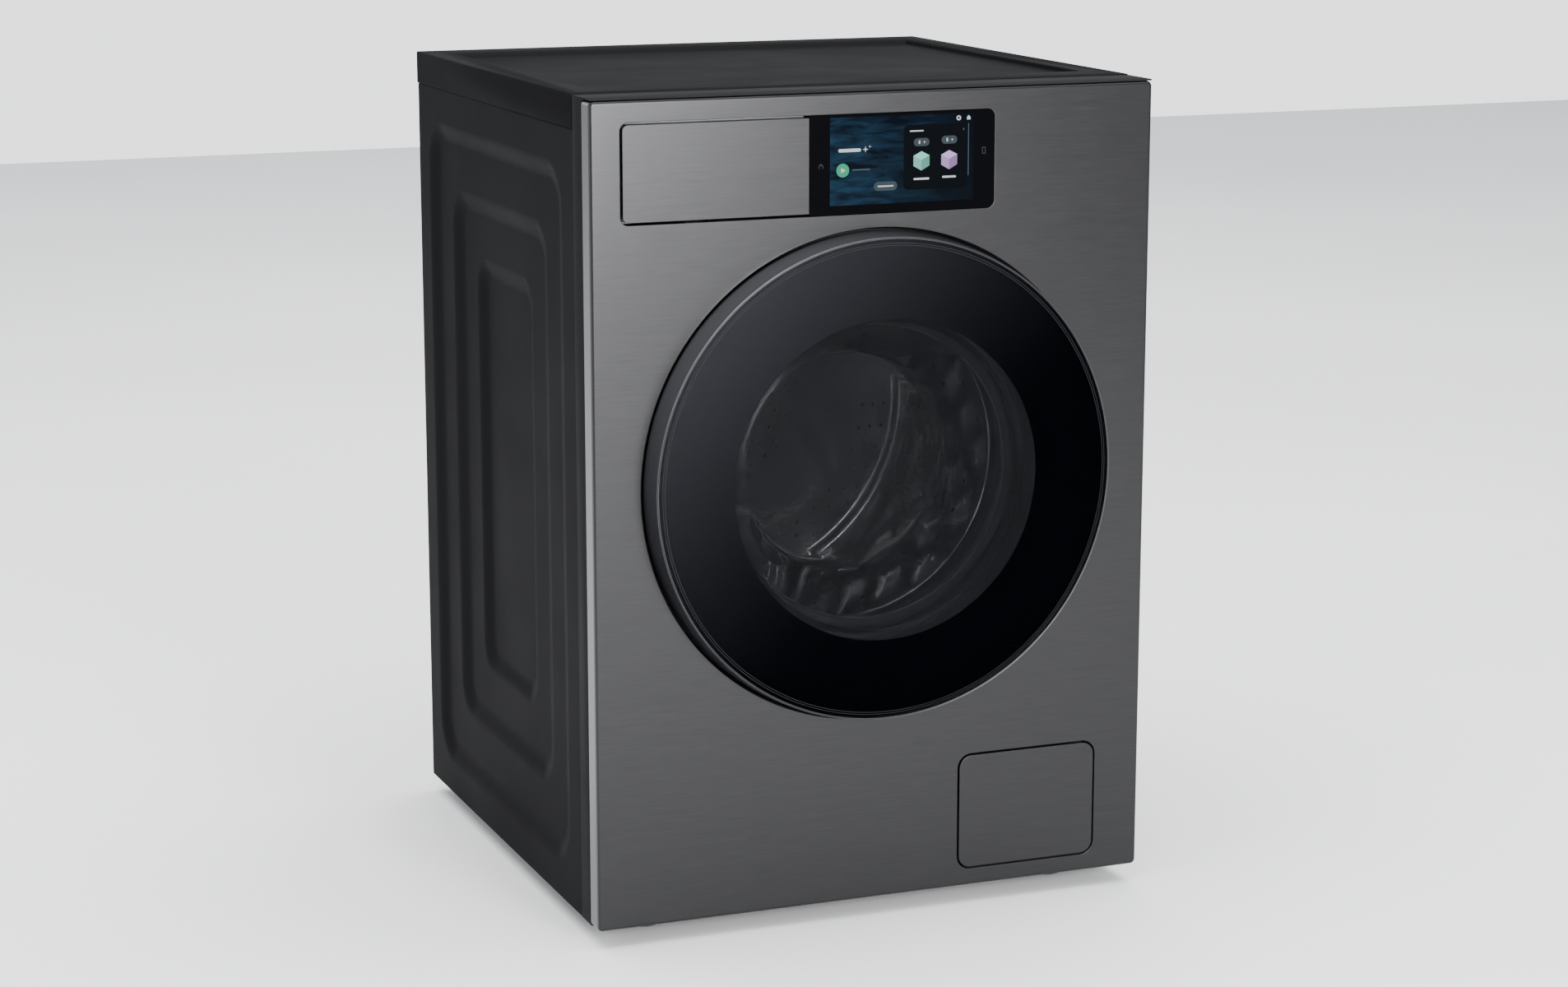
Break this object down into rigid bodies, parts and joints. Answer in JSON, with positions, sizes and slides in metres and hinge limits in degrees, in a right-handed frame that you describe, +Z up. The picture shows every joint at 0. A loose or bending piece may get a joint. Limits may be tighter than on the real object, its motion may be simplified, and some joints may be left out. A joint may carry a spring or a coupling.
{
  "type": "front-loading washing machine",
  "caption": "Free-standing front-loading washing machine with round tinted door, touch display strip, detergent drawer, service flap, sprung tub and belt-driven drum.",
  "frame": {"origin": "on the floor, midway across the width and midway between the door glass and the back panel", "axes": "+Z up, +X to the right as one faces the door, +Y towards the back"},
  "size_m": [0.6, 0.629, 0.85],
  "materials": {
    "brushed_steel_front": "horizontally brushed, satin",
    "side_paint": "satin dark grey paint on pressed sheet",
    "black_frame": "fine-grained moulding",
    "gloss_black": "polished",
    "tinted_glass": "dark tinted, polished",
    "bowl_glass": "thick pressed glass",
    "screen": "lit colour display",
    "grey_rubber": "matt moulded rubber",
    "black_rubber": "matt",
    "white_plastic": "moulded",
    "grey_plastic": "moulded, satin",
    "zinc_plated": "zinc-plated steel look",
    "drum_steel": "bright stainless sheet",
    "cast_aluminium": "as cast",
    "concrete": "cast, rough"
  },
  "bodies": {
    "root": {"side_panel_left": "side_paint", "side_panel_right": "side_paint", "front_panel": "brushed_steel_front", "front_frame": "black_frame", "top_cover": "black_frame", "back_panel": "zinc_plated", "service_cover": "zinc_plated", "base_tray": "black_frame", "top_brace": "zinc_plated", "foot_front_left": "black_rubber", "foot_front_right": "black_rubber", "foot_back_left": "black_rubber", "foot_back_right": "black_rubber", "dispenser_housing": "white_plastic", "display_glass": "tinted_glass", "display_screen": "screen", "control_housing": "black_frame", "filter_bay": "black_frame", "pump_housing": "white_plastic", "door_hinge_bracket": "zinc_plated", "door_surround": "black_frame", "door_lock": "black_frame", "door_gasket": "grey_rubber", "tub_spring_left": "zinc_plated", "tub_spring_right": "zinc_plated", "damper_cylinder_left": "black_frame", "damper_cylinder_right": "black_frame", "sump_hose": "black_rubber", "water_inlet_valve": "white_plastic", "drain_elbow": "black_frame", "cable_gland": "black_rubber"},
    "door": {"door_glass": "tinted_glass", "door_rim": "gloss_black", "door_inner_frame": "black_frame", "door_bowl": "bowl_glass", "door_hinge_leaf": "zinc_plated"},
    "hook": {"door_hook": "zinc_plated"},
    "drawer": {"drawer_front": "brushed_steel_front", "drawer_box": "grey_plastic"},
    "flap": {"service_flap": "brushed_steel_front"},
    "filter": {"filter_cap": "grey_plastic"},
    "tub_unit": {"tub_front": "white_plastic", "tub_rear": "white_plastic", "bearing_front": "zinc_plated", "bearing_rear": "zinc_plated", "counterweight_front": "concrete", "counterweight_top": "concrete", "heater": "zinc_plated", "motor_housing": "cast_aluminium", "damper_rod_left": "zinc_plated", "damper_rod_right": "zinc_plated", "drive_belt": "black_rubber"},
    "drum": {"drum_shell": "drum_steel", "drum_back": "drum_steel", "drum_spider": "cast_aluminium", "drum_pulley": "cast_aluminium", "drum_lifter_a": "grey_plastic", "drum_lifter_b": "grey_plastic", "drum_lifter_c": "grey_plastic"},
    "motor": {"motor_pulley": "zinc_plated"}
  },
  "joints": [
    {"name": "door_swing", "type": "hinge", "parent": "root", "child": "door", "pos_m": [-0.225, -0.2995, 0.462], "axis": [0, 0, -1], "range_deg": [0, 125]},
    {"name": "door_hook_pivot", "type": "hinge", "parent": "door", "child": "hook", "pos_m": [0.2133, -0.2895, 0.462], "axis": [0, 0, 1], "range_deg": [0, 8], "stiffness_Nm_per_rad": 0.3},
    {"name": "drawer_slide", "type": "slide", "parent": "root", "child": "drawer", "axis": [0, -1, 0], "range_m": [0, 0.22]},
    {"name": "flap_hinge", "type": "hinge", "parent": "root", "child": "flap", "pos_m": [0.1705, -0.2805, 0.052], "axis": [1, 0, 0], "range_deg": [0, 88]},
    {"name": "filter_cap_turn", "type": "hinge", "parent": "root", "child": "filter", "pos_m": [0.1825, -0.2855, 0.098], "axis": [0, -1, 0], "range_deg": [0, 90]},
    {"name": "tub_bounce", "type": "slide", "parent": "root", "child": "tub_unit", "axis": [0, 0, 1], "range_m": [-0.008, 0.008], "stiffness_N_per_m": 24000, "springref_m": 0.01315, "deforming": ["tub_spring_left", "tub_spring_right", "door_gasket", "sump_hose"]},
    {"name": "drum_spin", "type": "hinge", "parent": "tub_unit", "child": "drum", "pos_m": [0, 0, 0.462], "axis": [0, 1, 0], "continuous": true},
    {"name": "motor_spin", "type": "hinge", "parent": "tub_unit", "child": "motor", "pos_m": [0, 0, 0.128], "axis": [0, 1, 0], "continuous": true}
  ],
  "couplings": [
    {"joint": "motor_spin", "follows": "drum_spin", "ratio": 11.25}
  ]
}
